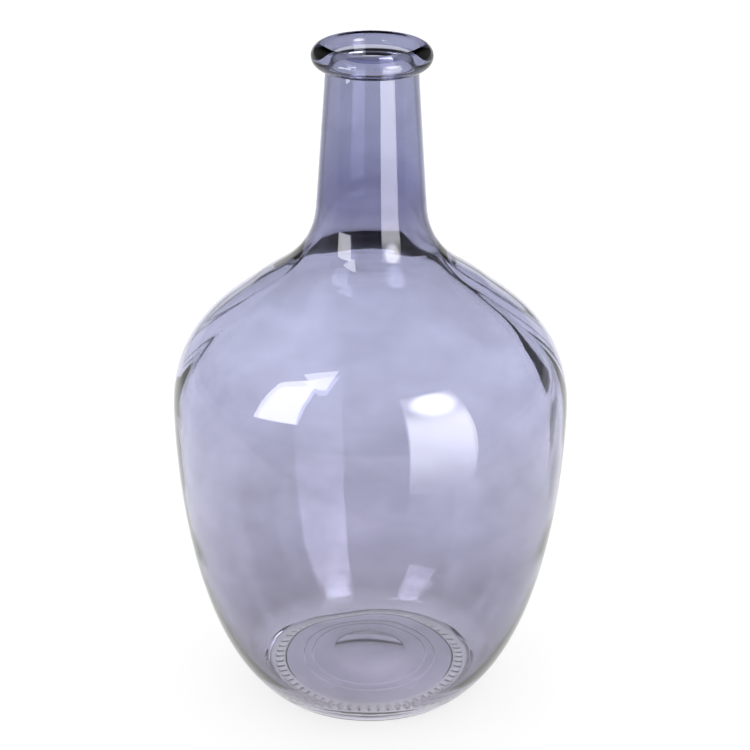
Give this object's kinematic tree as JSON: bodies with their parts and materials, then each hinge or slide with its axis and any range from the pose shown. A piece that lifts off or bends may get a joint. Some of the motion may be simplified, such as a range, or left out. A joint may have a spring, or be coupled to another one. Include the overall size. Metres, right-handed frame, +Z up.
{
  "type": "glass bottle vase",
  "caption": "Egg-shaped clear glass bottle vase with a tapering neck, a rolled lip and a thick domed base standing on a ring of moulded bars.",
  "frame": {"origin": "middle of the base, on the surface that the vase stands on", "axes": "+Z up along the vase's axis, through the middle of the neck; the vase is round, so +X and +Y are any two directions at right angles"},
  "size_m": [0.151, 0.151, 0.26],
  "materials": {
    "glass": "fire polished, grey-blue tint"
  },
  "bodies": {
    "root": {"glass_vase": "glass"}
  },
  "joints": []
}
